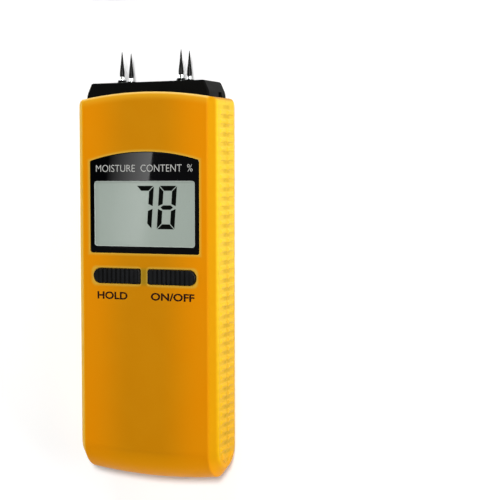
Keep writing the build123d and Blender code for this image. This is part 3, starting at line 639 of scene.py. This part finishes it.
def ink_and_painted_highlight(name, color):
    """Screen-printed ink, also used for a painted highlight: slightly uneven cover and a dry surface."""
    finish = Finish(name, color, 0.55, specular=0.1)
    cover = finish.remap(finish.noise(0.35, 4.0), (0.3, 0.6), (0.75, 1.0))
    thin = tuple(c * 0.8 for c in color)
    finish.drive("Base Color", finish.blend(cover, thin, color))
    finish.relief(finish.noise(0.1, 2.0), 0.3, 0.005)
    return finish


def board_green():
    """Solder mask over a raised pattern of copper tracks."""
    finish = Finish("board_green", (0.015, 0.14, 0.05), 0.3)
    tracks = finish.node("ShaderNodeTexBrick")
    tracks.inputs["Scale"].default_value = 160
    tracks.inputs["Color1"].default_value = (0.012, 0.12, 0.045, 1)
    tracks.inputs["Color2"].default_value = (0.016, 0.15, 0.055, 1)
    tracks.inputs["Mortar"].default_value = (0.03, 0.23, 0.09, 1)
    finish.tree.links.new(finish.place, tracks.inputs["Vector"])
    finish.drive("Base Color", tracks.outputs["Color"])
    finish.relief(tracks.outputs["Fac"], 0.3, 0.03)
    finish.vary_roughness(finish.noise(3.0), 0.22, 0.4)
    return finish


FINISHES = {finish.name: finish for finish in (
    case_plastic(),
    moulded("head_plastic", (0.003, 0.003, 0.0027), (0.002, 0.002, 0.002), 0.5, grain=0.3,
            worn=(0.015, 0.015, 0.013), specular=0.04),
    moulded("cap_plastic", (0.006, 0.006, 0.006), (0.004, 0.004, 0.004), 0.34, grain=0.3,
            depth=0.015, worn=(0.03, 0.03, 0.03), specular=0.3),
    turned_metal("pin_steel", (0.014, 0.014, 0.014), 0.30, tarnish=(0.007, 0.007, 0.007)),
    collar_chrome(),
    turned_metal("brass", (0.78, 0.55, 0.22), 0.25, tarnish=(0.5, 0.33, 0.12)),
    bezel_gloss(),
    clear_window(),
    lcd_grey(),
    moulded("frame_plastic", (0.75, 0.75, 0.72), (0.66, 0.66, 0.62), 0.45),
    moulded("elastomer", (0.30, 0.31, 0.35), (0.08, 0.08, 0.09), 0.6, grain=0.15),
    moulded("switch_plastic", (0.04, 0.04, 0.04), (0.02, 0.02, 0.02), 0.45),
    moulded("plunger_plastic", (0.55, 0.08, 0.05), (0.4, 0.05, 0.03), 0.4),
    key_rubber(),
    board_green(),
    turned_metal("screw_steel", (0.62, 0.62, 0.6), 0.28, tarnish=(0.4, 0.39, 0.36)),
    moulded("chip_black", (0.03, 0.03, 0.03), (0.02, 0.02, 0.02), 0.5, grain=0.12),
    turned_metal("crystal_can", (0.7, 0.7, 0.68), 0.25),
    moulded("trim_blue", (0.04, 0.16, 0.45), (0.02, 0.1, 0.3), 0.35),
    moulded("capacitor_sleeve", (0.02, 0.03, 0.10), (0.01, 0.015, 0.06), 0.25),
    moulded("resistor_ceramic", (0.06, 0.06, 0.06), (0.03, 0.03, 0.03), 0.4, grain=0.1),
    moulded("battery_jacket", (0.16, 0.17, 0.19), (0.11, 0.12, 0.14), 0.3, grain=0.5),
    turned_metal("stud_metal", (0.7, 0.68, 0.62), 0.2),
    moulded("snap_plastic", (0.025, 0.025, 0.025), (0.015, 0.015, 0.015), 0.5),
    moulded("lead_red", (0.5, 0.015, 0.012), (0.4, 0.01, 0.01), 0.45),
    moulded("lead_black", (0.015, 0.015, 0.015), (0.01, 0.01, 0.01), 0.45),
    moulded("foam", (0.05, 0.05, 0.052), (0.02, 0.02, 0.02), 0.9, grain=0.6, depth=0.25),
)}
SEGMENT_BLACK = segment_black()
TITLE_INK = ink_and_painted_highlight("title_ink", (0.44, 0.44, 0.42))
LABEL_INK = ink_and_painted_highlight("label_ink", (0.018, 0.004, 0.001))
# pale finish of the window's edge ring, a painted highlight
RIM_PAINTED_HIGHLIGHT = ink_and_painted_highlight("rim_painted_highlight", (0.40, 0.45, 0.41))

for part in frame["record"]["subparts"]:
    cad_mesh = frame["nodes"][part["node"]].data
    cad_mesh.materials.clear()
    cad_mesh.materials.append(FINISHES[part["material_slot"]].material)


# ---------------------------------------------------------------- printed and small pieces

def piece(name, form, finish, body="meter"):
    """A new mesh piece from a bmesh in millimetres, riding on a body."""
    bmesh.ops.scale(form, vec=(MM, MM, MM), verts=form.verts)
    bmesh.ops.recalc_face_normals(form, faces=form.faces)
    mesh = bpy.data.meshes.new(name)
    form.to_mesh(mesh)
    form.free()
    mesh.materials.append(finish.material)
    made = bpy.data.objects.new(name, mesh)
    bpy.context.scene.collection.objects.link(made)
    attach(made, body)


def prism(form, outline, low, high):
    """Closed prism over a convex outline."""
    bottom = [form.verts.new((x, y, low)) for x, y in outline]
    top = [form.verts.new((x, y, high)) for x, y in outline]
    form.faces.new(list(reversed(bottom)))
    form.faces.new(top)
    for index in range(len(outline)):
        after = (index + 1) % len(outline)
        form.faces.new((bottom[index], bottom[after], top[after], top[index]))


def segments():
    """Outlines of the seven segments of an upright digit, by name."""
    width, height, bar, gap = DIGIT_WIDTH, DIGIT_HEIGHT, DIGIT_BAR, DIGIT_MITRE
    middle = height / 2
    outer_end = 0.57
    inner_end = 1.46
    tip = 1.2
    shoulder = 2.3
    half_bar = 0.93
    upper_left = [(0, middle + outer_end), (0, height - gap),
                  (bar, height - bar - gap), (bar, middle + inner_end)]
    top = [(gap, height), (width - gap, height), (width - bar - gap, height - bar), (bar + gap, height - bar)]
    centre = [(tip, middle), (shoulder, middle + half_bar), (width - shoulder, middle + half_bar),
              (width - tip, middle), (width - shoulder, middle - half_bar), (shoulder, middle - half_bar)]
    shapes = {"top": top, "centre": centre, "upper_left": upper_left}
    shapes["upper_right"] = [(width - x, y) for x, y in upper_left]
    shapes["lower_left"] = [(x, height - y) for x, y in upper_left]
    shapes["lower_right"] = [(width - x, height - y) for x, y in upper_left]
    shapes["bottom"] = [(x, height - y) for x, y in top]
    return shapes


def digit(name, lit, right_top):
    """Lit segments of a slanted digit, printed on the display glass."""
    glass_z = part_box("lcd_glass")[1].z / MM
    form = bmesh.new()
    shapes = segments()
    for segment in lit:
        outline = []
        for x, y in shapes[segment]:
            slanted = right_top - DIGIT_WIDTH + x - (DIGIT_HEIGHT - y) * DIGIT_SLANT
            outline.append((slanted, DIGIT_BOTTOM + y))
        prism(form, outline, glass_z, glass_z + INK_HEIGHT)
    piece(name, form, SEGMENT_BLACK)


def lettering(name, words, place, surface_z, finish, weight):
    """Printed words that fill a rectangle, as a thin raised mesh; the weight thickens the strokes."""
    curve = bpy.data.curves.new(name, "FONT")
    curve.body = words
    curve.extrude = 0.5
    curve.offset = weight
    curve.resolution_u = 4
    source = bpy.data.objects.new(name + "_curve", curve)
    bpy.context.scene.collection.objects.link(source)
    bpy.context.view_layer.update()
    mesh = bpy.data.meshes.new_from_object(source.evaluated_get(bpy.context.evaluated_depsgraph_get()))
    bpy.data.objects.remove(source)
    form = bmesh.new()
    form.from_mesh(mesh)
    bmesh.ops.remove_doubles(form, verts=form.verts, dist=0.0005)
    lows = [min(v.co[i] for v in form.verts) for i in range(3)]
    highs = [max(v.co[i] for v in form.verts) for i in range(3)]
    targets = (*place, (surface_z, surface_z + INK_HEIGHT))
    for vertex in form.verts:
        for i, (low, high) in enumerate(targets):
            share = (vertex.co[i] - lows[i]) / (highs[i] - lows[i])
            vertex.co[i] = low + share * (high - low)
    piece(name, form, finish)


def rounded_rectangle(x_range, y_range, radius):
    """Corner-rounded outline, anticlockwise."""
    left, right = x_range[0] + radius, x_range[1] - radius
    bottom, top = y_range[0] + radius, y_range[1] - radius
    points = []
    for quarter, (x, y) in enumerate(((right, top), (left, top), (left, bottom), (right, bottom))):
        for step in range(CORNER_STEPS + 1):
            angle = (quarter + step / CORNER_STEPS) * pi / 2
            points.append((x + radius * cos(angle), y + radius * sin(angle)))
    return points


def window_bevel():
    """Thin edge ring of the clear window, just inside the bezel's opening, pale as a painted highlight."""
    top_z = bezel_high.z - WINDOW_EDGE_SINK
    low_z = top_z - WINDOW_EDGE_DEPTH
    outer = rounded_rectangle(*WINDOW_PLACE, WINDOW_CORNER)
    inside = [(low + WINDOW_EDGE, high - WINDOW_EDGE) for low, high in WINDOW_PLACE]
    inner = rounded_rectangle(*inside, WINDOW_CORNER - WINDOW_EDGE)
    form = bmesh.new()
    rings = []
    for outline, z in ((outer, top_z), (inner, top_z - WINDOW_EDGE_FALL), (inner, low_z), (outer, low_z)):
        rings.append([form.verts.new((x, y, z)) for x, y in outline])
    count = len(outer)
    for ring, following in zip(rings, rings[1:] + rings[:1]):
        for index in range(count):
            after = (index + 1) % count
            form.faces.new((ring[index], ring[after], following[after], following[index]))
    piece("window_bevel", form, RIM_PAINTED_HIGHLIGHT)


digit("digit_seven", ("top", "upper_right", "lower_right"), DIGIT_RIGHT_TOP["seven"])
digit("digit_eight", ("top", "centre", "bottom", "upper_left", "upper_right", "lower_left", "lower_right"),
      DIGIT_RIGHT_TOP["eight"])
lettering("title", "MOISTURE  CONTENT  %", TITLE_PLACE, bezel_high.z, TITLE_INK,
          TITLE_WEIGHT)
lettering("hold_label", "HOLD", HOLD_PLACE, case_high.z, LABEL_INK, LABEL_WEIGHT)
lettering("power_label", "ON/OFF", POWER_PLACE, case_high.z, LABEL_INK, LABEL_WEIGHT)
window_bevel()
